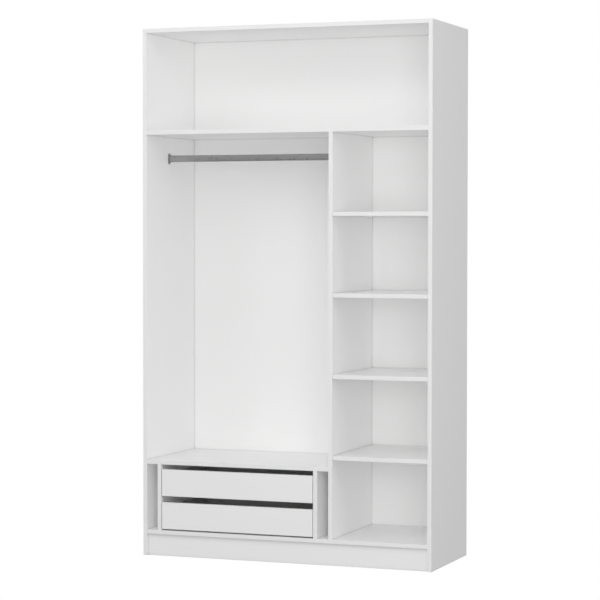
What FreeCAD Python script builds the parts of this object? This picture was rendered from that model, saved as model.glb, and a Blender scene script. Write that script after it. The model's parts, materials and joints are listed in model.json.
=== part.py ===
import FreeCAD, Part
import os

# Tall open-fronted wardrobe carcass with a hanging space, a shelf column and two inset drawers.
# Millimetres. Origin on the floor under the middle of the wardrobe, +Z up, front towards -Y.

V = FreeCAD.Vector

# ---- driving dimensions: carcass ----
WIDTH = 1350.0
HEIGHT = 2350.0
CARCASS_DEPTH = 525.0
BACK_T = 3.0
BOARD = 18.0
BAND = 1.0                      # plastic edge band on every front edge
BAND_ROUND = 0.7
PLINTH_HEIGHT = 98.0
PLINTH_RECESS = 15.0
REAR_PLINTH_RECESS = 40.0
FIXED_SHELF_UNDERSIDE = 1880.0
RIGHT_BAY = 432.0               # clear width of the shelf column
BACK_INSET = 2.0                # back boards stop this far inside the outer faces
BACK_HALF_JOINT = 0.5           # half the open joint between two back boards

# ---- driving dimensions: loose shelves ----
SHELF_COUNT = 4
SHELF_PITCH = 352.0             # eleven steps of the 32 mm hole system
SHELF_SETBACK = 4.0
SHELF_SIDE_GAP = 0.75
PIN_R = 2.5
PIN_DEPTH = 10.0
PIN_TONGUE = 8.0
PIN_TONGUE_SIDE = 1.5           # tongue wider than the pin by this much each side
PIN_TONGUE_LIP = 1.0            # tongue longer than the pin
PIN_AXIS_DROP = 4.0
PIN_FROM_EDGE = 60.0

# ---- driving dimensions: hanging rail ----
RAIL_TALL = 30.0
RAIL_WIDE = 15.0
RAIL_WALL = 1.2
RAIL_DROP = 99.5                # rail centre below the fixed shelf
RAIL_SETBACK = 244.0            # rail centre behind the front edges
SOCKET_FLANGE_TALL = 50.0
SOCKET_FLANGE_WIDE = 24.0
SOCKET_FLANGE_T = 2.0
SOCKET_CUP_WALL = 2.0
SOCKET_CUP_LENGTH = 6.0
SOCKET_SCREW_SPREAD = 20.5
RAIL_END_PLAY = 0.3

# ---- driving dimensions: drawer unit ----
UNIT_TOP_UNDERSIDE = 411.0
HINGE_SLOT = 52.0               # open slot between each partition and its upright
FRONT_HEIGHT = 118.5
FRONT_RECESS = 1.5
FRONT_SIDE_GAP = 3.0
FRONT_FOOT_GAP = 6.5            # under the lower front
FINGER_GAP = 29.0               # between the two fronts
FRONT_ROUND = 1.0
BOX_SIDE_T = 12.0
BOX_HEIGHT = 90.0
BOX_DOWEL_SHARES = (0.4, 0.8)   # dowel heights as shares of the box height
BOX_LIFT = 10.0                 # box underside above the front's lower edge
BOX_LENGTH = 450.0
BOX_BOTTOM_T = 3.0
BOX_BOTTOM_LIFT = 12.0
GROOVE_DEPTH = 5.0
GROOVE_PLAY = 0.2

# ---- driving dimensions: ball-bearing slides, measured outwards from the partition ----
SLIDE_SPACE = 13.0
SLIDE_LENGTH = 450.0
SLIDE_STEEL = 1.2
SLIDE_START = 2.0               # slide front end behind the front board
OUTER_HALF = 22.5
OUTER_REACH = 10.0
MIDDLE_HALF = 19.4
MIDDLE_WEB_AT = 4.4
MIDDLE_REACH = 10.8
INNER_HALF = 15.6
INNER_LIP_AT = 7.2
MIDDLE_START = 1.0              # middle and inner members, relative to the outer member's ends
MIDDLE_STOP = 10.0
INNER_START = -1.0
INNER_STOP = 14.0
SLIDE_HOLES_FROM_FRONT = (35.0, 380.0)

# ---- fasteners ----
PLAY = 0.1                      # radial play of pre-drilled holes
HOLE_SPARE = 1.0                # pre-drilled holes are deeper than what goes in
CAM_R = 7.5
CAM_DEPTH = 13.5
CAM_BACKSET = 34.0
CAM_BOLT_R = 3.3
CAM_BOLT_THREAD_R = 2.5
CAM_BOLT_THREAD = 11.0
CAM_CHANNEL_R = 4.0
CAM_SINK = 0.3                  # cam face below the board's face
CAM_FLOOR_GAP = 0.2
CAM_CROSS_HALF = 5.0            # cross recess for the screwdriver
CAM_CROSS_HALF_WIDTH = 1.2
CAM_CROSS_DEPTH = 2.0
CAM_BOLT_SHORT = 2.0            # bolt ends this far before the cam's centre
DOWEL_R = 4.0
DOWEL_HALF = 15.0
DOWEL_COVER = 5.0               # board left beyond a dowel driven into its face
SMALL_DOWEL_R = 3.0
SMALL_DOWEL_SHORT = 8.0
SMALL_DOWEL_LONG = 16.0
CONFIRMAT_HEAD_R = 5.0
CONFIRMAT_HEAD = 3.0
CONFIRMAT_SHANK_R = 3.4
CONFIRMAT_THREAD_R = 2.4
CONFIRMAT_THREAD = 32.0
SCREW_HEAD_R = 3.4
SCREW_HEAD = 1.8
SCREW_R = 1.6
SCREW_LENGTH = 13.0
SHORT_SCREW_LENGTH = 10.0
SCREW_HOLE_R = 2.0
SCREW_HOLE_REACH = 5.0          # clears the sheet metal under the head
NAIL_HEAD_R = 2.0
NAIL_HEAD = 0.6
NAIL_R = 0.7
NAIL_LENGTH = 20.0
NAIL_SPACING = 200.0
NAIL_FROM_CORNER = 40.0
JOINT_YS = (70.0, 455.0)        # cam positions behind the front edge
DOWEL_STEP = 32.0

# ---- wall brackets ----
BRACKET_X = 475.0
BRACKET_WIDE = 30.0
BRACKET_LEG = 30.0
BRACKET_T = 2.0
BRACKET_HOLE_R = 3.0
BRACKET_HOLE_UP = 19.0
BRACKET_SCREW_FORWARD = 2.0     # foot screw ahead of the foot's middle

# ---- derived planes ----
HALF_WIDTH = WIDTH / 2
X_LEFT = -HALF_WIDTH + BOARD                    # inner faces of the side panels
X_RIGHT = HALF_WIDTH - BOARD
DIVIDER_RIGHT = X_RIGHT - RIGHT_BAY
DIVIDER_LEFT = DIVIDER_RIGHT - BOARD
Y_FRONT = -(CARCASS_DEPTH + BACK_T) / 2
Y_REAR = Y_FRONT + CARCASS_DEPTH                # back boards start here
Y_WALL = Y_REAR + BACK_T
BOTTOM_TOP = PLINTH_HEIGHT + BOARD
FIXED_SHELF_TOP = FIXED_SHELF_UNDERSIDE + BOARD
TOP_UNDERSIDE = HEIGHT - BOARD
UNIT_LEFT = X_LEFT + HINGE_SLOT                 # outer faces of the drawer unit
UNIT_RIGHT = DIVIDER_LEFT - HINGE_SLOT
BAY_LEFT = UNIT_LEFT + BOARD                    # clear width for the drawers
BAY_RIGHT = UNIT_RIGHT - BOARD
FRONT_BACK_FACE = Y_FRONT + FRONT_RECESS + BOARD

solids = {}                     # node name -> solids it is made of
bores = {}                      # node name -> solids cut out of it


def add(node, solid):
    solids.setdefault(node, []).append(solid)


def bore(node, cutter):
    bores.setdefault(node, []).append(cutter)


def box(x0, x1, y0, y1, z0, z1):
    return Part.makeBox(x1 - x0, y1 - y0, z1 - z0, V(x0, y0, z0))


def rod(start, axis, length, radius):
    return Part.makeCylinder(radius, length, V(*start), V(*axis))


def shifted(point, axis, distance):
    return tuple(p + a * distance for p, a in zip(point, axis))


def opposite(axis):
    return tuple(-a for a in axis)


def fuse(first, *others):
    return first.fuse(list(others)).removeSplitter()


def round_front_edges(solid, front_y, radius, along=None):
    """Round the edges lying in the front plane; along limits it to edges of one direction."""
    picked = []
    for edge in solid.Edges:
        ends = [v.Point for v in edge.Vertexes]
        if any(abs(p.y - front_y) > 1e-6 for p in ends):
            continue
        run = ends[1] - ends[0]
        if along is None or abs(abs(run.normalize().dot(along)) - 1) < 1e-6:
            picked.append(edge)
    return solid.makeFillet(radius, picked)


# ---- carcass boards ----
def board(node, x0, x1, z0, z1, front=Y_FRONT, rear=Y_REAR):
    """A board running front to rear, with its front edge banded."""
    add(node, box(x0, x1, front + BAND, rear, z0, z1))
    along = V(0, 0, 1) if z1 - z0 > x1 - x0 else V(1, 0, 0)
    strip = box(x0, x1, front, front + BAND, z0, z1)
    add("front_edge_bands", round_front_edges(strip, front, BAND_ROUND, along))


def shelf_underside(index):
    """Underside of a loose shelf, with the column of shelves centred in its height."""
    middle = (BOTTOM_TOP + FIXED_SHELF_UNDERSIDE) / 2
    return middle + (index - (SHELF_COUNT - 1) / 2) * SHELF_PITCH - BOARD / 2


def make_carcass():
    board("side_panel_left", -HALF_WIDTH, X_LEFT, 0, HEIGHT)
    board("side_panel_right", X_RIGHT, HALF_WIDTH, 0, HEIGHT)
    board("top_panel", X_LEFT, X_RIGHT, TOP_UNDERSIDE, HEIGHT)
    board("fixed_shelf", X_LEFT, X_RIGHT, FIXED_SHELF_UNDERSIDE, FIXED_SHELF_TOP)
    board("bottom_panel", X_LEFT, X_RIGHT, PLINTH_HEIGHT, BOTTOM_TOP)
    board("centre_divider", DIVIDER_LEFT, DIVIDER_RIGHT, BOTTOM_TOP, FIXED_SHELF_UNDERSIDE)
    board("drawer_unit_top", X_LEFT, DIVIDER_LEFT, UNIT_TOP_UNDERSIDE, UNIT_TOP_UNDERSIDE + BOARD)
    board("drawer_partition_left", UNIT_LEFT, BAY_LEFT, BOTTOM_TOP, UNIT_TOP_UNDERSIDE)
    board("drawer_partition_right", BAY_RIGHT, UNIT_RIGHT, BOTTOM_TOP, UNIT_TOP_UNDERSIDE)


def make_plinth():
    front = Y_FRONT + PLINTH_RECESS
    rear = Y_REAR - REAR_PLINTH_RECESS
    add("plinth_front", box(X_LEFT, X_RIGHT, front, front + BOARD, 0, PLINTH_HEIGHT))
    add("plinth_rear", box(X_LEFT, X_RIGHT, rear - BOARD, rear, 0, PLINTH_HEIGHT))
    add("plinth_cross_rail",
        box(DIVIDER_LEFT, DIVIDER_RIGHT, front + BOARD, rear - BOARD, 0, PLINTH_HEIGHT))
    middle = (DIVIDER_LEFT + DIVIDER_RIGHT) / 2
    for height in (PLINTH_HEIGHT / 4, PLINTH_HEIGHT * 3 / 4):
        for node, y in (("plinth_front", front + BOARD / 2), ("plinth_rear", rear - BOARD / 2)):
            dowel(node, "side_panel_left", (X_LEFT, y, height), (-1, 0, 0), short=True)
            dowel(node, "side_panel_right", (X_RIGHT, y, height), (1, 0, 0), short=True)
        dowel("plinth_cross_rail", "plinth_front", (middle, front + BOARD, height), (0, -1, 0),
              short=True)
        dowel("plinth_cross_rail", "plinth_rear", (middle, rear - BOARD, height), (0, 1, 0),
              short=True)


def make_loose_shelves():
    for index in range(SHELF_COUNT):
        under = shelf_underside(index)
        board(f"shelf_{index + 1}", DIVIDER_RIGHT + SHELF_SIDE_GAP, X_RIGHT - SHELF_SIDE_GAP,
              under, under + BOARD, front=Y_FRONT + SHELF_SETBACK)
        for y in (Y_FRONT + PIN_FROM_EDGE, Y_REAR - PIN_FROM_EDGE):
            shelf_pin("centre_divider", DIVIDER_RIGHT, y, under, 1)
            shelf_pin("side_panel_right", X_RIGHT, y, under, -1)


def shelf_pin(upright, x_face, y, under, outward):
    """A round pin pressed into the upright, with a tongue that the shelf lies on."""
    height = under - PIN_AXIS_DROP
    start = (x_face - outward * PIN_DEPTH, y, height)
    axis = (outward, 0, 0)
    x_low, x_high = sorted((x_face, x_face + outward * PIN_TONGUE))
    half_width = PIN_R + PIN_TONGUE_SIDE
    tongue = box(x_low, x_high, y - half_width, y + half_width, height, under)
    pin = rod(start, axis, PIN_DEPTH + PIN_TONGUE - PIN_TONGUE_LIP, PIN_R)
    add("shelf_pins", fuse(pin, tongue))
    bore(upright, rod(start, axis, PIN_DEPTH, PIN_R + PLAY))


# ---- back boards ----
def nail_row(start, end):
    """Evenly spaced nails driven from behind between two points (x, z)."""
    span = ((end[0] - start[0]) ** 2 + (end[1] - start[1]) ** 2) ** 0.5
    count = max(2, round(span / NAIL_SPACING) + 1)
    for step in range(count):
        share = step / (count - 1)
        x = start[0] + (end[0] - start[0]) * share
        z = start[1] + (end[1] - start[1]) * share
        head = rod((x, Y_WALL, z), (0, -1, 0), NAIL_HEAD, NAIL_HEAD_R)
        shank = rod((x, Y_WALL, z), (0, -1, 0), NAIL_LENGTH, NAIL_R)
        add("back_nails", fuse(head, shank))


def make_back():
    left = -HALF_WIDTH + BACK_INSET
    right = HALF_WIDTH - BACK_INSET
    seam_x = (DIVIDER_LEFT + DIVIDER_RIGHT) / 2
    seam_z = (FIXED_SHELF_UNDERSIDE + FIXED_SHELF_TOP) / 2
    low = PLINTH_HEIGHT + BACK_INSET
    high = HEIGHT - BACK_INSET
    top_low = seam_z + BACK_HALF_JOINT
    low_high = seam_z - BACK_HALF_JOINT
    add("back_panel_top", box(left, right, Y_REAR, Y_WALL, top_low, high))
    add("back_panel_left", box(left, seam_x - BACK_HALF_JOINT, Y_REAR, Y_WALL, low, low_high))
    add("back_panel_right", box(seam_x + BACK_HALF_JOINT, right, Y_REAR, Y_WALL, low, low_high))
    edge = BOARD / 2
    quarter = BOARD / 4
    inset = NAIL_FROM_CORNER
    for z in (HEIGHT - edge, seam_z + quarter):
        nail_row((left + inset, z), (right - inset, z))
    for z in (seam_z - quarter, PLINTH_HEIGHT + edge):
        nail_row((left + inset, z), (seam_x - inset, z))
        nail_row((seam_x + inset, z), (right - inset, z))
    for x in (-HALF_WIDTH + edge, HALF_WIDTH - edge):
        nail_row((x, seam_z + inset), (x, high - inset))
        nail_row((x, low + inset), (x, seam_z - inset))
    for x in (seam_x - quarter, seam_x + quarter):
        nail_row((x, low + inset), (x, seam_z - inset))


# ---- hidden joints ----
def dowel(node_a, node_b, point, axis, short=False, group="wood_dowels"):
    """A wooden dowel across the joint at point; axis points into node_b."""
    radius = SMALL_DOWEL_R if short else DOWEL_R
    into_a = SMALL_DOWEL_LONG if short else DOWEL_HALF
    into_b = SMALL_DOWEL_SHORT if short else min(DOWEL_HALF, BOARD - DOWEL_COVER)
    start = shifted(point, axis, -into_a)
    add(group, rod(start, axis, into_a + into_b, radius))
    bore(node_a, rod(point, opposite(axis), into_a + HOLE_SPARE, radius + PLAY))
    bore(node_b, rod(point, axis, into_b + HOLE_SPARE, radius + PLAY))


def cam_joint(node, upright, x_face, toward, y, z_low, pocket_side):
    """A cam in a level board pulling a bolt that is screwed into the upright."""
    axis = (toward, 0, 0)
    mid = z_low + BOARD / 2
    centre_x = x_face - toward * CAM_BACKSET
    pocket_z = z_low + BOARD if pocket_side > 0 else z_low
    pocket_axis = (0, 0, -pocket_side)
    mouth = (centre_x, y, pocket_z)
    channel = rod((centre_x, y, mid), axis, CAM_BACKSET, CAM_CHANNEL_R)
    bore(node, rod(mouth, pocket_axis, CAM_DEPTH, CAM_R + PLAY))
    bore(node, channel)
    cam_height = CAM_DEPTH - CAM_SINK - CAM_FLOOR_GAP
    cam = rod(shifted(mouth, pocket_axis, CAM_SINK), pocket_axis, cam_height, CAM_R)
    cross_z = sorted((pocket_z, pocket_z - pocket_side * (CAM_SINK + CAM_CROSS_DEPTH)))
    arms = ((CAM_CROSS_HALF, CAM_CROSS_HALF_WIDTH), (CAM_CROSS_HALF_WIDTH, CAM_CROSS_HALF))
    for wide, deep in arms:
        cam = cam.cut(box(centre_x - wide, centre_x + wide, y - deep, y + deep, *cross_z))
    add("cam_locks", cam.cut(channel))
    face = (x_face, y, mid)
    shank_length = CAM_BACKSET - CAM_BOLT_SHORT
    shank = rod(shifted(face, axis, -shank_length), axis, shank_length, CAM_BOLT_R)
    thread = rod(face, axis, CAM_BOLT_THREAD, CAM_BOLT_THREAD_R)
    add("cam_bolts", fuse(shank, thread))
    bore(upright, rod(face, axis, CAM_BOLT_THREAD + HOLE_SPARE, CAM_BOLT_THREAD_R + PLAY))


def confirmat(outer, inner, point, axis):
    """A flush screw through outer's full thickness into the end of inner."""
    head = rod(point, axis, CONFIRMAT_HEAD, CONFIRMAT_HEAD_R)
    shank = rod(point, axis, BOARD, CONFIRMAT_SHANK_R)
    joint = shifted(point, axis, BOARD)
    thread = rod(joint, axis, CONFIRMAT_THREAD, CONFIRMAT_THREAD_R)
    add("confirmat_screws", fuse(head, shank, thread))
    bore(outer, rod(point, axis, CONFIRMAT_HEAD, CONFIRMAT_HEAD_R + PLAY))
    bore(outer, rod(point, axis, BOARD, CONFIRMAT_SHANK_R + PLAY))
    bore(inner, rod(joint, axis, CONFIRMAT_THREAD + HOLE_SPARE, CONFIRMAT_THREAD_R + PLAY))


def make_joints():
    levels = (
        ("top_panel", TOP_UNDERSIDE, 1, "side_panel_right", X_RIGHT),
        ("fixed_shelf", FIXED_SHELF_UNDERSIDE, 1, "side_panel_right", X_RIGHT),
        ("bottom_panel", PLINTH_HEIGHT, -1, "side_panel_right", X_RIGHT),
        ("drawer_unit_top", UNIT_TOP_UNDERSIDE, -1, "centre_divider", DIVIDER_LEFT),
    )
    for node, z_low, pocket_side, right_upright, right_face in levels:
        for upright, x_face, toward in (("side_panel_left", X_LEFT, -1),
                                        (right_upright, right_face, 1)):
            for y_offset, inward in zip(JOINT_YS, (1, -1)):
                y = Y_FRONT + y_offset
                cam_joint(node, upright, x_face, toward, y, z_low, pocket_side)
                dowel(node, upright, (x_face, y + inward * DOWEL_STEP, z_low + BOARD / 2),
                      (toward, 0, 0))
    upright_middles = (
        ("centre_divider", (DIVIDER_LEFT + DIVIDER_RIGHT) / 2, "fixed_shelf", FIXED_SHELF_UNDERSIDE),
        ("drawer_partition_left", (UNIT_LEFT + BAY_LEFT) / 2, "drawer_unit_top", UNIT_TOP_UNDERSIDE),
        ("drawer_partition_right", (BAY_RIGHT + UNIT_RIGHT) / 2, "drawer_unit_top",
         UNIT_TOP_UNDERSIDE),
    )
    for upright, x, above, z_high in upright_middles:
        for y_offset, inward in zip(JOINT_YS, (1, -1)):
            y = Y_FRONT + y_offset
            confirmat("bottom_panel", upright, (x, y, PLINTH_HEIGHT), (0, 0, 1))
            for z, neighbour, axis in ((BOTTOM_TOP, "bottom_panel", (0, 0, -1)),
                                       (z_high, above, (0, 0, 1))):
                dowel(upright, neighbour, (x, y + inward * DOWEL_STEP, z), axis)
    for y_offset in JOINT_YS:
        x = (DIVIDER_LEFT + DIVIDER_RIGHT) / 2
        confirmat("fixed_shelf", "centre_divider", (x, Y_FRONT + y_offset, FIXED_SHELF_TOP),
                  (0, 0, -1))


def screw(group, metal, point, axis, length=SCREW_LENGTH):
    """A pan-head screw whose head sits at point, through sheet metal, driven along axis."""
    head = rod(point, opposite(axis), SCREW_HEAD, SCREW_HEAD_R)
    shank = rod(point, axis, length, SCREW_R)
    add(group, fuse(head, shank))
    start = shifted(point, axis, -HOLE_SPARE)
    bore(metal, rod(start, axis, SCREW_HOLE_REACH, SCREW_HOLE_R))


# ---- hanging rail ----
def oval_face(x, y, z, tall, wide):
    """An upright stadium outline facing +X, centred on (y, z)."""
    r = wide / 2
    half = tall / 2 - r
    top = Part.Arc(V(x, y - r, z + half), V(x, y, z + half + r), V(x, y + r, z + half))
    bottom = Part.Arc(V(x, y + r, z - half), V(x, y, z - half - r), V(x, y - r, z - half))
    right = Part.LineSegment(V(x, y + r, z + half), V(x, y + r, z - half))
    left = Part.LineSegment(V(x, y - r, z - half), V(x, y - r, z + half))
    outline = [top.toShape(), right.toShape(), bottom.toShape(), left.toShape()]
    return Part.Face(Part.Wire(outline))


def oval_prism(x0, x1, y, z, tall, wide):
    return oval_face(x0, y, z, tall, wide).extrude(V(x1 - x0, 0, 0))


def make_rail():
    y = Y_FRONT + RAIL_SETBACK
    z = FIXED_SHELF_UNDERSIDE - RAIL_DROP
    x0 = X_LEFT + SOCKET_FLANGE_T + RAIL_END_PLAY
    x1 = DIVIDER_LEFT - SOCKET_FLANGE_T - RAIL_END_PLAY
    tube = oval_prism(x0, x1, y, z, RAIL_TALL, RAIL_WIDE)
    inside = oval_prism(x0 - HOLE_SPARE, x1 + HOLE_SPARE, y, z,
                        RAIL_TALL - 2 * RAIL_WALL, RAIL_WIDE - 2 * RAIL_WALL)
    add("hanging_rail", tube.cut(inside))
    ends = (("rail_socket_left", X_LEFT, 1), ("rail_socket_right", DIVIDER_LEFT, -1))
    for node, x_face, outward in ends:
        flange = oval_prism(x_face, x_face + outward * SOCKET_FLANGE_T, y, z,
                            SOCKET_FLANGE_TALL, SOCKET_FLANGE_WIDE)
        cup_end = x_face + outward * (SOCKET_FLANGE_T + SOCKET_CUP_LENGTH)
        cup = oval_prism(x_face, cup_end, y, z, RAIL_TALL + 2 * SOCKET_CUP_WALL,
                         RAIL_WIDE + 2 * SOCKET_CUP_WALL)
        hollow = oval_prism(x_face + outward * SOCKET_FLANGE_T, cup_end + outward, y, z,
                            RAIL_TALL + 2 * PLAY, RAIL_WIDE + 2 * PLAY)
        add(node, fuse(flange, cup).cut(hollow))
        for spread in (-SOCKET_SCREW_SPREAD, SOCKET_SCREW_SPREAD):
            screw("carcass_screws", node, (x_face + outward * SOCKET_FLANGE_T, y, z + spread),
                  (-outward, 0, 0))


# ---- drawers ----
def channel(x_face, outward, web_at, reach, lip_from, half, y0, y1, z):
    """A C-shaped steel section: an upright web and two lips, offset outwards from x_face."""
    def slab(near, far, low, high):
        a = x_face + outward * near
        b = x_face + outward * far
        return box(min(a, b), max(a, b), y0, y1, low, high)
    web = slab(web_at, web_at + SLIDE_STEEL, z - half, z + half)
    upper = slab(lip_from, reach, z + half - SLIDE_STEEL, z + half)
    lower = slab(lip_from, reach, z - half, z - half + SLIDE_STEEL)
    return fuse(web, upper, lower)


def make_slides(drawer, z):
    y0 = FRONT_BACK_FACE + SLIDE_START
    for side, x_face, outward in (("left", BAY_LEFT, 1), ("right", BAY_RIGHT, -1)):
        outer = f"{drawer}_slide_outer_{side}"
        inner = f"{drawer}_slide_inner_{side}"
        add(outer, channel(x_face, outward, 0, OUTER_REACH, 0, OUTER_HALF, y0, y0 + SLIDE_LENGTH, z))
        add(f"{drawer}_slide_middle_{side}",
            channel(x_face, outward, MIDDLE_WEB_AT, MIDDLE_REACH, MIDDLE_WEB_AT, MIDDLE_HALF,
                    y0 + MIDDLE_START, y0 + SLIDE_LENGTH - MIDDLE_STOP, z))
        add(inner, channel(x_face, outward, SLIDE_SPACE - SLIDE_STEEL, SLIDE_SPACE, INNER_LIP_AT,
                           INNER_HALF, y0 + INNER_START, y0 + SLIDE_LENGTH - INNER_STOP, z))
        for along in SLIDE_HOLES_FROM_FRONT:
            x_web = x_face + outward * SLIDE_STEEL
            screw("carcass_screws", outer, (x_web, y0 + along, z), (-outward, 0, 0))
            x_web = x_face + outward * (SLIDE_SPACE - SLIDE_STEEL)
            screw(f"{drawer}_drawer_screws", inner, (x_web, y0 + along, z), (outward, 0, 0),
                  SHORT_SCREW_LENGTH)


def make_drawer(drawer, front_low):
    front_x0 = BAY_LEFT + FRONT_SIDE_GAP
    front_x1 = BAY_RIGHT - FRONT_SIDE_GAP
    front_y = Y_FRONT + FRONT_RECESS
    plate = box(front_x0, front_x1, front_y, FRONT_BACK_FACE, front_low, front_low + FRONT_HEIGHT)
    front = f"{drawer}_drawer_front"
    add(front, round_front_edges(plate, front_y, FRONT_ROUND))

    low = front_low + BOX_LIFT
    high = low + BOX_HEIGHT
    rear = FRONT_BACK_FACE + BOX_LENGTH
    left_in = BAY_LEFT + SLIDE_SPACE + BOX_SIDE_T
    right_in = BAY_RIGHT - SLIDE_SPACE - BOX_SIDE_T
    floor_low = low + BOX_BOTTOM_LIFT
    floor_high = floor_low + BOX_BOTTOM_T
    rear_in = rear - BOX_SIDE_T

    back = f"{drawer}_drawer_back"
    add(back, box(left_in, right_in, rear_in, rear, floor_high, high))
    add(f"{drawer}_drawer_bottom",
        box(left_in - GROOVE_DEPTH + GROOVE_PLAY, right_in + GROOVE_DEPTH - GROOVE_PLAY,
            FRONT_BACK_FACE - GROOVE_DEPTH + GROOVE_PLAY, rear, floor_low, floor_high))
    groove = box(left_in - GROOVE_DEPTH, right_in + GROOVE_DEPTH, FRONT_BACK_FACE - GROOVE_DEPTH,
                 rear + 1, floor_low - GROOVE_PLAY / 2, floor_high + GROOVE_PLAY / 2)
    bore(front, groove)
    dowels = f"{drawer}_drawer_dowels"
    for side, inner_x, outward in (("left", left_in, -1), ("right", right_in, 1)):
        node = f"{drawer}_drawer_side_{side}"
        outer_x = inner_x + outward * BOX_SIDE_T
        add(node, box(min(inner_x, outer_x), max(inner_x, outer_x), FRONT_BACK_FACE, rear, low, high))
        bore(node, groove)
        middle_x = (inner_x + outer_x) / 2
        for share in BOX_DOWEL_SHARES:
            z = low + BOX_HEIGHT * share
            dowel(node, front, (middle_x, FRONT_BACK_FACE, z), (0, -1, 0), True, dowels)
            dowel(back, node, (inner_x, rear - BOX_SIDE_T / 2, z), (outward, 0, 0), True, dowels)
    make_slides(drawer, (low + high) / 2)


def make_drawers():
    lower_front = BOTTOM_TOP + FRONT_FOOT_GAP
    make_drawer("lower", lower_front)
    make_drawer("upper", lower_front + FRONT_HEIGHT + FINGER_GAP)


# ---- wall brackets ----
def make_wall_brackets():
    for side, x in (("left", -BRACKET_X), ("right", BRACKET_X)):
        node = f"wall_bracket_{side}"
        x0 = x - BRACKET_WIDE / 2
        x1 = x + BRACKET_WIDE / 2
        foot = box(x0, x1, Y_WALL - BRACKET_LEG, Y_WALL, HEIGHT, HEIGHT + BRACKET_T)
        leg = box(x0, x1, Y_WALL - BRACKET_T, Y_WALL, HEIGHT, HEIGHT + BRACKET_LEG)
        add(node, fuse(foot, leg))
        hole_start = (x, Y_WALL - BRACKET_T - HOLE_SPARE, HEIGHT + BRACKET_HOLE_UP)
        bore(node, rod(hole_start, (0, 1, 0), BRACKET_T + 2 * HOLE_SPARE, BRACKET_HOLE_R))
        screw_y = Y_WALL - BRACKET_LEG / 2 - BRACKET_SCREW_FORWARD
        screw("carcass_screws", node, (x, screw_y, HEIGHT + BRACKET_T), (0, 0, -1))


def finished(node):
    pieces = solids[node]
    cutters = bores.get(node)
    if cutters:
        pieces = [piece.cut(cutters) for piece in pieces]
    return Part.makeCompound(pieces) if len(pieces) > 1 else pieces[0]


make_carcass()
make_plinth()
make_loose_shelves()
make_back()
make_joints()
make_rail()
make_drawers()
make_wall_brackets()

os.makedirs("parts", exist_ok=True)
for name in solids:
    finished(name).exportStep(f"parts/{name}.step")
print(len(solids), "nodes")
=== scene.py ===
"""Looks of a tall open wardrobe: a finish for every board and fitting, ball cages, studio and camera."""
import json
import math

import bmesh
import bpy
from mathutils import Matrix, Vector


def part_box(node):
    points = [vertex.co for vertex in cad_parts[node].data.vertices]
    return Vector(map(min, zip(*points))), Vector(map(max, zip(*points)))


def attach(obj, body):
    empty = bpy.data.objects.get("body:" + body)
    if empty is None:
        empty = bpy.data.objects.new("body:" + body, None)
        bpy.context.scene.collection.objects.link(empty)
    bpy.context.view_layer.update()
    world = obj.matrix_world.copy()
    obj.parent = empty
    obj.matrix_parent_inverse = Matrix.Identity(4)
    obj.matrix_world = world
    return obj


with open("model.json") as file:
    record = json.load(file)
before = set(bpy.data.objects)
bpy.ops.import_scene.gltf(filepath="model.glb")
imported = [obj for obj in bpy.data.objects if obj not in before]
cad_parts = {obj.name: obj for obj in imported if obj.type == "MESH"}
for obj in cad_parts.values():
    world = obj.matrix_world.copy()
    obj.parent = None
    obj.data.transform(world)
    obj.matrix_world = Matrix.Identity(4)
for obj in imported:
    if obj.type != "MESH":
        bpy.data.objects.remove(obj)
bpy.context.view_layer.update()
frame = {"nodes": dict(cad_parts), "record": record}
nodes = frame["nodes"]
MM = 0.001


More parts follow.
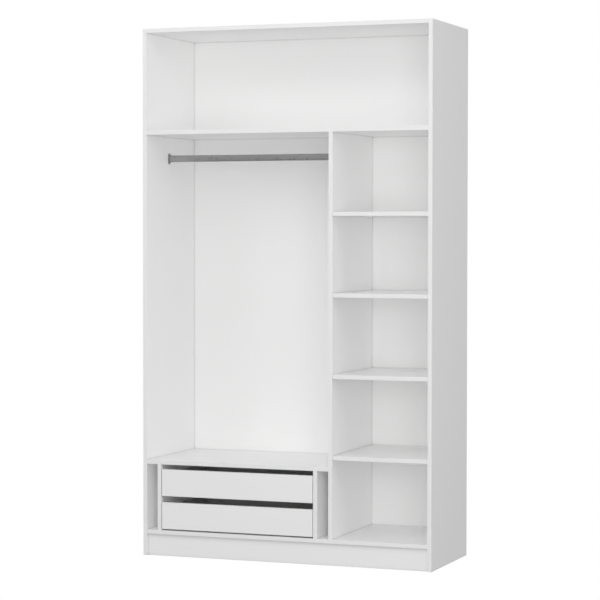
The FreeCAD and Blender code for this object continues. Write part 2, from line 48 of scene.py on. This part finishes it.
# ---------------------------------------------------------------- shader building blocks
class Finish:
    """A Principled material, and helpers that add procedural nodes in the object's own space."""

    def __init__(self, name, roughness, metallic=0.0):
        self.material = bpy.data.materials.new(name)
        self.material.use_nodes = True
        self.tree = self.material.node_tree
        self.tree.nodes.clear()
        output = self.node("ShaderNodeOutputMaterial")
        self.shader = self.node("ShaderNodeBsdfPrincipled")
        self.link(self.shader.outputs["BSDF"], output.inputs["Surface"])
        self.shader.inputs["Metallic"].default_value = metallic
        self.shader.inputs["Roughness"].default_value = roughness
        space = self.node("ShaderNodeTexCoord")
        self.coords = space.outputs["Object"]
        self.normals = space.outputs["Normal"]

    def link(self, output, socket):
        self.tree.links.new(output, socket)

    def node(self, kind, **settings):
        made = self.tree.nodes.new(kind)
        for key, value in settings.items():
            setattr(made, key, value)
        return made

    def stretched(self, scale):
        """The object's coordinates, scaled along each axis."""
        mapping = self.node("ShaderNodeMapping")
        mapping.inputs["Scale"].default_value = scale
        self.link(self.coords, mapping.inputs["Vector"])
        return mapping.outputs["Vector"]

    def component(self, vector, axis):
        parts = self.node("ShaderNodeSeparateXYZ")
        self.link(vector, parts.inputs["Vector"])
        return parts.outputs[axis]

    def noise(self, scale, detail=3.0, rough=0.5, coords=None):
        made = self.node("ShaderNodeTexNoise")
        made.inputs["Scale"].default_value = scale
        made.inputs["Detail"].default_value = detail
        made.inputs["Roughness"].default_value = rough
        self.link(coords or self.coords, made.inputs["Vector"])
        return made.outputs["Fac"]

    def cells(self, scale, coords=None):
        """A random colour for each cell."""
        made = self.node("ShaderNodeTexVoronoi")
        made.inputs["Scale"].default_value = scale
        self.link(coords or self.coords, made.inputs["Vector"])
        return made.outputs["Color"]

    def remap(self, value, low, high, to_low=0.0, to_high=1.0):
        made = self.node("ShaderNodeMapRange")
        numbers = (low, high, to_low, to_high)
        for key, number in zip(("From Min", "From Max", "To Min", "To Max"), numbers):
            made.inputs[key].default_value = number
        self.link(value, made.inputs["Value"])
        return made.outputs["Result"]

    def maths(self, operation, first, second):
        made = self.node("ShaderNodeMath", operation=operation)
        for socket, value in zip(made.inputs, (first, second)):
            if isinstance(value, (int, float)):
                socket.default_value = value
            else:
                self.link(value, socket)
        return made.outputs["Value"]

    def blend(self, factor, first, second):
        """Mixes two colours, each a tuple or a node output."""
        made = self.node("ShaderNodeMix", data_type="RGBA")
        self.link(factor, made.inputs["Factor"])
        for name, value in (("A", first), ("B", second)):
            socket = next(port for port in made.inputs if port.name == name and port.type == "RGBA")
            if isinstance(value, tuple):
                socket.default_value = (*value, 1.0)
            else:
                self.link(value, socket)
        return next(port for port in made.outputs if port.type == "RGBA")

    def painted_crevice_shade(self, reach):
        """Painted shade from ambient occlusion: 0 on open faces, rising to about a quarter along an inner
        corner and never past the shade depth cap.
        """
        made = self.node("ShaderNodeAmbientOcclusion", samples=8)
        made.inputs["Distance"].default_value = reach
        closed = self.maths("SUBTRACT", 1.0, made.outputs["AO"])
        return self.maths("MINIMUM", self.maths("POWER", closed, 2.0), PAINTED_SHADE_DEPTH)

    def facing(self, axis, sign, past):
        """1 on faces that look along sign x axis and lie beyond the plane at past, else 0."""
        across = self.component(self.normals, axis)
        looks = self.maths("GREATER_THAN", self.maths("MULTIPLY", across, sign), 0.5)
        place = self.component(self.coords, axis)
        beyond = self.maths("GREATER_THAN", self.maths("MULTIPLY", place, sign), past * sign)
        return self.maths("MULTIPLY", looks, beyond)

    def colour(self, output):
        self.link(output, self.shader.inputs["Base Color"])

    def roughness(self, output):
        self.link(output, self.shader.inputs["Roughness"])

    def bump(self, height, strength, distance):
        """Adds one layer of bump on top of any layer already there."""
        made = self.node("ShaderNodeBump")
        made.inputs["Distance"].default_value = distance
        if isinstance(strength, (int, float)):
            made.inputs["Strength"].default_value = strength
        else:
            self.link(strength, made.inputs["Strength"])
        self.link(height, made.inputs["Height"])
        normal = self.shader.inputs["Normal"]
        if normal.is_linked:
            self.link(normal.links[0].from_socket, made.inputs["Normal"])
        self.link(made.outputs["Normal"], normal)


# ---------------------------------------------------------------- board finishes
WHITE = (0.944, 0.944, 0.942)
WHITE_COOL = (0.936, 0.937, 0.938)
WHITE_FLECK = (0.952, 0.952, 0.950)
BAND = (0.905, 0.905, 0.903)
BAND_LIGHT = (0.917, 0.918, 0.917)
GLUE = (0.62, 0.60, 0.56)
LACQUER = (0.930, 0.930, 0.926)
LACQUER_LIGHT = (0.938, 0.938, 0.936)
SCUFF = (0.700, 0.690, 0.675)
CHIP_DARK = (0.36, 0.25, 0.15)
CHIP_LIGHT = (0.66, 0.52, 0.35)
FIBRE_DARK = (0.30, 0.185, 0.10)
FIBRE = (0.40, 0.26, 0.15)
FIBRE_LIGHT = (0.52, 0.38, 0.24)
FOIL = (0.30, 0.30, 0.30)
FOIL_LIGHT = (0.37, 0.37, 0.368)
BEECH_DARK = (0.60, 0.42, 0.25)
BEECH_LIGHT = (0.76, 0.59, 0.39)
BEECH_RAY = (0.48, 0.31, 0.18)
PAINTED_JOINT_SHADE = (0.10, 0.10, 0.10)        # painted shade: the dark grey that ambient occlusion blends in where boards meet and in the gaps between parts
# reach of the painted shade's ambient occlusion, and the most that painted shade may darken a board
PAINTED_SHADE_REACH = 11.0 * MM
PAINTED_SHADE_DEPTH = 0.35
REAR_EDGES = 260.0 * MM         # board edges behind this plane are raw
BOARD_FEET = 1.0 * MM           # and so are the edges on the floor
BAND_T = 1.0 * MM
GLUE_LINE = 0.12 * MM
BACK_SKIN = 0.2 * MM            # depth of the raw face on the wall side of the back


def scuffs(made, top, strength):
    """Faint rub marks that fade out at the height top: 0 on clean board, up to strength."""
    streaks = made.noise(1.0, 5.0, 0.7, made.stretched((9.0, 9.0, 60.0)))
    marks = made.remap(streaks, 0.60, 0.78, 0.0, strength)
    fade = made.remap(made.component(made.coords, "Z"), 0.0, top, 1.0, 0.0)
    return made.maths("MULTIPLY", marks, fade)


def white_melamine():
    """Satin white melamine with a pearl texture; the edges against the wall and floor are raw chipboard."""
    made = Finish("white_melamine", 0.42)
    cloud = made.remap(made.noise(2.3, 2.0), 0.3, 0.7)
    fleck = made.remap(made.noise(900.0, 2.0), 0.35, 0.65)
    paper = made.blend(made.maths("MULTIPLY", fleck, 0.35), made.blend(cloud, WHITE, WHITE_COOL), WHITE_FLECK)
    clean = made.blend(scuffs(made, 0.16, 0.35), paper, SCUFF)
    raw = made.maths("MAXIMUM", made.facing("Y", 1, REAR_EDGES), made.facing("Z", -1, BOARD_FEET))
    chips = made.component(made.cells(420.0, made.stretched((1.0, 1.0, 2.4))), "X")
    wood = made.blend(made.remap(chips, 0.1, 0.9), CHIP_DARK, CHIP_LIGHT)
    # painted shade: ambient occlusion blends the board towards dark grey in corners and gaps
    made.colour(made.blend(made.painted_crevice_shade(PAINTED_SHADE_REACH), made.blend(raw, clean, wood), PAINTED_JOINT_SHADE))
    satin = made.remap(made.noise(14.0, 4.0, 0.6), 0.3, 0.7, 0.37, 0.47)
    made.roughness(made.maths("MAXIMUM", satin, made.maths("MULTIPLY", raw, 0.9)))
    made.bump(made.noise(650.0, 2.0), 0.16, 0.06 * MM)
    made.bump(chips, made.maths("MULTIPLY", raw, 0.5), 0.4 * MM)
    return made.material


def edge_band():
    """Plastic edging: smoother than the board, with faint draw lines and a hairline of glue behind it."""
    made = Finish("edge_band", 0.33)
    tone = made.blend(made.remap(made.noise(5.0, 3.0), 0.3, 0.7), BAND, BAND_LIGHT)
    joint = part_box("front_edge_bands")[0].y + BAND_T
    from_joint = made.maths("SUBTRACT", made.component(made.coords, "Y"), joint)
    from_joint = made.maths("ABSOLUTE", from_joint, 0.0)
    glue = made.maths("SUBTRACT", 1.0, made.remap(from_joint, 0.0, GLUE_LINE))
    rubbed = made.blend(scuffs(made, 0.12, 0.3), tone, SCUFF)
    made.colour(made.blend(made.maths("MULTIPLY", glue, 0.35), rubbed, GLUE))
    made.roughness(made.remap(made.noise(40.0, 3.0), 0.3, 0.7, 0.28, 0.37))
    made.bump(made.noise(420.0, 2.0), 0.10, 0.05 * MM)
    made.bump(made.noise(1.0, 2.0, 0.5, made.stretched((35.0, 2600.0, 35.0))), 0.06, 0.04 * MM)
    return made.material


def back_board():
    """Thin hardboard, lacquered white; the side against the wall is raw brown fibre."""
    made = Finish("back_board", 0.5)
    lacquer = made.blend(made.remap(made.noise(3.5, 3.0), 0.3, 0.7), LACQUER, LACQUER_LIGHT)
    fibres = made.noise(1.0, 6.0, 0.65, made.stretched((55.0, 55.0, 160.0)))
    mottle = made.remap(made.noise(7.0, 3.0), 0.3, 0.7)
    brown = made.blend(mottle, FIBRE_DARK, FIBRE)
    raw_fibre = made.blend(made.remap(fibres, 0.35, 0.7, 0.0, 0.7), brown, FIBRE_LIGHT)
    raw = made.facing("Y", 1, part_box("back_panel_top")[1].y - BACK_SKIN)
    # painted shade: ambient occlusion blends the lacquer towards dark grey in corners and gaps
    made.colour(made.blend(made.painted_crevice_shade(PAINTED_SHADE_REACH), made.blend(raw, lacquer, raw_fibre), PAINTED_JOINT_SHADE))
    roller = made.remap(made.noise(25.0, 4.0), 0.3, 0.7, 0.44, 0.54)
    made.roughness(made.maths("MAXIMUM", roller, made.maths("MULTIPLY", raw, 0.88)))
    made.bump(made.noise(380.0, 3.0), 0.16, 0.06 * MM)
    made.bump(fibres, made.maths("MULTIPLY", raw, 0.5), 0.3 * MM)
    return made.material


def drawer_board():
    """Foil-wrapped drawer sides: a smooth grey foil with a faint linen print along the length."""
    made = Finish("drawer_board", 0.45)
    threads = made.noise(1.0, 3.0, 0.6, made.stretched((900.0, 12.0, 900.0)))
    cross = made.noise(1.0, 3.0, 0.6, made.stretched((900.0, 500.0, 40.0)))
    linen = made.maths("MULTIPLY", made.maths("ADD", threads, cross), 0.5)
    made.colour(made.blend(made.remap(linen, 0.38, 0.62), FOIL, FOIL_LIGHT))
    made.roughness(made.remap(made.noise(18.0, 3.0), 0.3, 0.7, 0.40, 0.52))
    made.bump(linen, 0.15, 0.08 * MM)
    return made.material


def beech():
    """Raw turned beech of the dowels."""
    made = Finish("dowel_wood", 0.65)
    rings = made.noise(1.0, 5.0, 0.6, made.stretched((160.0, 700.0, 160.0)))
    rays = made.noise(700.0, 2.0)
    grain = made.blend(made.remap(rings, 0.3, 0.7), BEECH_DARK, BEECH_LIGHT)
    made.colour(made.blend(made.remap(rays, 0.58, 0.72, 0.0, 0.5), grain, BEECH_RAY))
    made.roughness(made.remap(rings, 0.3, 0.7, 0.58, 0.74))
    made.bump(rings, 0.35, 0.15 * MM)
    return made.material


# ---------------------------------------------------------------- metal and plastic finishes
STAIN_SHADE = 0.8               # a stain's share of the dark tone
METAL_RELIEF = 0.05 * MM
COAT = (0.83, 0.83, 0.825)
COAT_LIGHT = (0.88, 0.88, 0.878)
MILKY = (0.86, 0.86, 0.855)
MILKY_LIGHT = (0.90, 0.90, 0.898)


def metal(name, dark, light, rough_low, rough_high, lay, grain=0.08, spangle=0.0, stain=0.3):
    """Bare or plated metal; lay is the stretch of its rolling or brushing marks along each axis."""
    made = Finish(name, rough_low, metallic=1.0)
    marks = made.noise(1.0, 4.0, 0.6, made.stretched(lay))
    patches = made.component(made.cells(130.0), "X")
    cloud = made.noise(30.0, 3.0)
    lines = made.maths("MULTIPLY", marks, 1.0 - spangle)
    share = made.maths("ADD", lines, made.maths("MULTIPLY", patches, spangle))
    tone = made.blend(made.remap(share, 0.25, 0.75), dark, light)
    stained = tuple(level * STAIN_SHADE for level in dark)
    made.colour(made.blend(made.remap(cloud, 0.55, 0.8, 0.0, stain), tone, stained))
    wear = made.maths("MULTIPLY", made.maths("ADD", marks, cloud), 0.5)
    made.roughness(made.remap(wear, 0.3, 0.7, rough_low, rough_high))
    made.bump(marks, grain, METAL_RELIEF)
    return made.material


def powder_coat():
    """White powder coat with orange peel."""
    made = Finish("bracket_metal", 0.45)
    peel = made.noise(520.0, 2.0)
    made.colour(made.blend(made.remap(made.noise(60.0, 3.0), 0.3, 0.7), COAT, COAT_LIGHT))
    made.roughness(made.remap(peel, 0.3, 0.7, 0.40, 0.54))
    made.bump(peel, 0.35, 0.15 * MM)
    return made.material


def pin_plastic():
    """Milky moulded plastic."""
    made = Finish("pin_plastic", 0.38)
    made.colour(made.blend(made.remap(made.noise(90.0, 3.0), 0.3, 0.7), MILKY, MILKY_LIGHT))
    made.roughness(made.remap(made.noise(160.0, 2.0), 0.3, 0.7, 0.32, 0.44))
    made.bump(made.noise(800.0, 2.0), 0.15, 0.05 * MM)
    return made.material


ROUND = (300.0, 300.0, 300.0)   # marks with no direction
ALONG_X = (5.0, 1400.0, 1400.0)
ALONG_Y = (1400.0, 6.0, 1400.0)
METALS = {                      # slot: what metal() takes after the name
    "rail_metal": ((0.29, 0.29, 0.295), (0.33, 0.33, 0.335), 0.26, 0.30, ALONG_X, 0.02, 0.0, 0.05),
    "socket_metal": ((0.21, 0.21, 0.215), (0.27, 0.27, 0.275), 0.30, 0.42, ROUND, 0.03),
    "slide_steel": ((0.50, 0.51, 0.53), (0.64, 0.65, 0.67), 0.28, 0.42, ALONG_Y, 0.06, 0.4),
    "cam_zinc": ((0.40, 0.40, 0.41), (0.52, 0.52, 0.53), 0.45, 0.60, ROUND, 0.25),
    "fitting_steel": ((0.55, 0.54, 0.52), (0.66, 0.65, 0.63), 0.20, 0.32, ROUND, 0.05),
    "screw_steel": ((0.53, 0.51, 0.44), (0.64, 0.62, 0.56), 0.25, 0.38, ROUND, 0.06, 0.3),
    "nail_steel": ((0.38, 0.38, 0.39), (0.50, 0.50, 0.51), 0.30, 0.48, ROUND, 0.10),
}
finishes = {
    "white_board": white_melamine(),
    "edge_band": edge_band(),
    "back_board": back_board(),
    "drawer_board": drawer_board(),
    "dowel_wood": beech(),
    "bracket_metal": powder_coat(),
    "pin_plastic": pin_plastic(),
}
for slot, tones_and_texture in METALS.items():
    finishes[slot] = metal(slot, *tones_and_texture)
slot_of = {part["node"]: part["material_slot"] for part in frame["record"]["subparts"]}
for name, obj in nodes.items():
    obj.data.materials.clear()
    obj.data.materials.append(finishes[slot_of[name]])


# ---------------------------------------------------------------- ball cages of the drawer slides
SLIDE_STEEL = 1.2 * MM
BALL_SPACING = 15.0 * MM
BALL_SPARE = 0.1 * MM           # clearance of a ball on each side
BALL_SUBDIVISIONS = 2
CAGE_MARGIN = 12.0 * MM
CAGE_WIDTH = 2.8 * MM
CAGE_T = 0.5 * MM


def make_cage(drawer, side):
    """Rows of balls above and below the middle member, which carries them in every position of the drawer.

    The rear half runs in the outer member and the front half round the inner one.
    """
    members = ("outer", "middle", "inner")
    outer, middle, inner = (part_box(f"{drawer}_slide_{member}_{side}") for member in members)
    front, rear = middle[0].y, middle[1].y
    halfway = (front + rear) / 2
    shape = bmesh.new()
    strips = []
    for around, within, start, end in ((outer, middle, halfway, rear), (middle, inner, front, halfway)):
        across = (max(around[0].x, within[0].x) + min(around[1].x, within[1].x)) / 2
        gap = around[1].z - SLIDE_STEEL - within[1].z
        radius = gap / 2 - BALL_SPARE
        length = end - start - 2 * CAGE_MARGIN
        for z in (within[1].z + gap / 2, within[0].z - gap / 2):
            centre = Matrix.Translation((across, (start + end) / 2, z))
            strips.append(centre @ Matrix.Diagonal((CAGE_WIDTH, length, CAGE_T, 1.0)))
            for index in range(int(length / BALL_SPACING)):
                y = start + CAGE_MARGIN + (index + 0.5) * BALL_SPACING
                place = Matrix.Translation((across, y, z))
                bmesh.ops.create_icosphere(shape, subdivisions=BALL_SUBDIVISIONS, radius=radius, matrix=place)
    for face in shape.faces:
        face.smooth = True
    for strip in strips:
        bmesh.ops.create_cube(shape, size=1.0, matrix=strip)
    mesh = bpy.data.meshes.new(f"{drawer}_ball_cage_{side}")
    shape.to_mesh(mesh)
    shape.free()
    mesh.materials.append(finishes["slide_steel"])
    cage = bpy.data.objects.new(mesh.name, mesh)
    bpy.context.scene.collection.objects.link(cage)
    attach(cage, f"{drawer}_slide_middle")


for drawer in ("lower", "upper"):
    for side in ("left", "right"):
        make_cage(drawer, side)


# ---------------------------------------------------------------- studio
FLOOR_REACH = 40.0
WHITE_TO_CAMERA = 1.0
FLOOR_GLOW = 0.32               # light that the floor throws back up
WORLD_GLOW = 0.245
LIGHT_DISTANCE = 7.0
LIGHT_SIZE = 3.5
LIGHT_AIM = Vector((0.0, 0.0, 1.1))
FILM_WIDTH = 36.0
LENS = 128.516                  # mm
CAMERA_AT = (3.4038, -8.9397, 1.4442)
LOOK_DOWN = 1.7964              # degrees
LOOK_LEFT = 20.9887
LEAN = 0.0477
SOFTBOXES = {                   # name: degrees to the right of the front, degrees up, watts
    "key": (-45.0, 35.0, 77.0),
    "front_left": (-20.0, 25.0, 43.0),
    "front_low": (21.0, 0.0, 152.0),
    "front_high": (25.0, 35.0, 66.0),
    "front_right": (50.0, 10.0, 8.0),
    "side": (80.0, 15.0, 94.0),
}


def glow(tree, shader, strength):
    """Drives an emission so that the camera sees pure white and the object receives only strength."""
    path = tree.nodes.new("ShaderNodeLightPath")
    levels = tree.nodes.new("ShaderNodeMapRange")
    levels.inputs["To Min"].default_value = strength
    levels.inputs["To Max"].default_value = WHITE_TO_CAMERA
    tree.links.new(path.outputs["Is Camera Ray"], levels.inputs["Value"])
    tree.links.new(levels.outputs["Result"], shader.inputs["Strength"])


def make_floor():
    mesh = bpy.data.meshes.new("floor")
    signs = ((-1, -1), (1, -1), (1, 1), (-1, 1))
    mesh.from_pydata([(sx * FLOOR_REACH, sy * FLOOR_REACH, 0.0) for sx, sy in signs], [], [(0, 1, 2, 3)])
    floor = bpy.data.objects.new("floor", mesh)
    bpy.context.scene.collection.objects.link(floor)
    material = bpy.data.materials.new("pale_floor")
    material.use_nodes = True
    tree = material.node_tree
    tree.nodes.clear()
    output = tree.nodes.new("ShaderNodeOutputMaterial")
    shader = tree.nodes.new("ShaderNodeEmission")
    tree.links.new(shader.outputs["Emission"], output.inputs["Surface"])
    glow(tree, shader, FLOOR_GLOW)
    mesh.materials.append(material)


def make_world():
    world = bpy.data.worlds.new("studio")
    bpy.context.scene.world = world
    world.use_nodes = True
    shader = world.node_tree.nodes["Background"]
    shader.inputs["Color"].default_value = (1.0, 1.0, 1.0, 1.0)
    glow(world.node_tree, shader, WORLD_GLOW)


def make_softbox(name, right, up, power):
    data = bpy.data.lights.new(name, "AREA")
    data.size = LIGHT_SIZE
    data.energy = power
    light = bpy.data.objects.new(name, data)
    across, height = math.radians(right), math.radians(up)
    flat = math.cos(height)
    way = Vector((math.sin(across) * flat, -math.cos(across) * flat, math.sin(height)))
    light.location = LIGHT_AIM + way * LIGHT_DISTANCE
    light.rotation_euler = (-way).to_track_quat("-Z", "Y").to_euler()
    light.visible_camera = False
    bpy.context.scene.collection.objects.link(light)


def make_camera():
    data = bpy.data.cameras.new("camera")
    data.sensor_width = FILM_WIDTH
    data.lens = LENS
    data.clip_end = 100.0
    camera = bpy.data.objects.new("camera", data)
    camera.location = CAMERA_AT
    camera.rotation_euler = (math.radians(90.0 - LOOK_DOWN), math.radians(-LEAN), math.radians(LOOK_LEFT))
    bpy.context.scene.collection.objects.link(camera)
    bpy.context.scene.camera = camera


make_floor()
make_world()
for name, (right, up, power) in SOFTBOXES.items():
    make_softbox(name, right, up, power)
make_camera()
scene = bpy.context.scene
scene.view_settings.view_transform = "Standard"
scene.view_settings.gamma = 1.2
scene.cycles.max_bounces = 16
scene.cycles.diffuse_bounces = 12
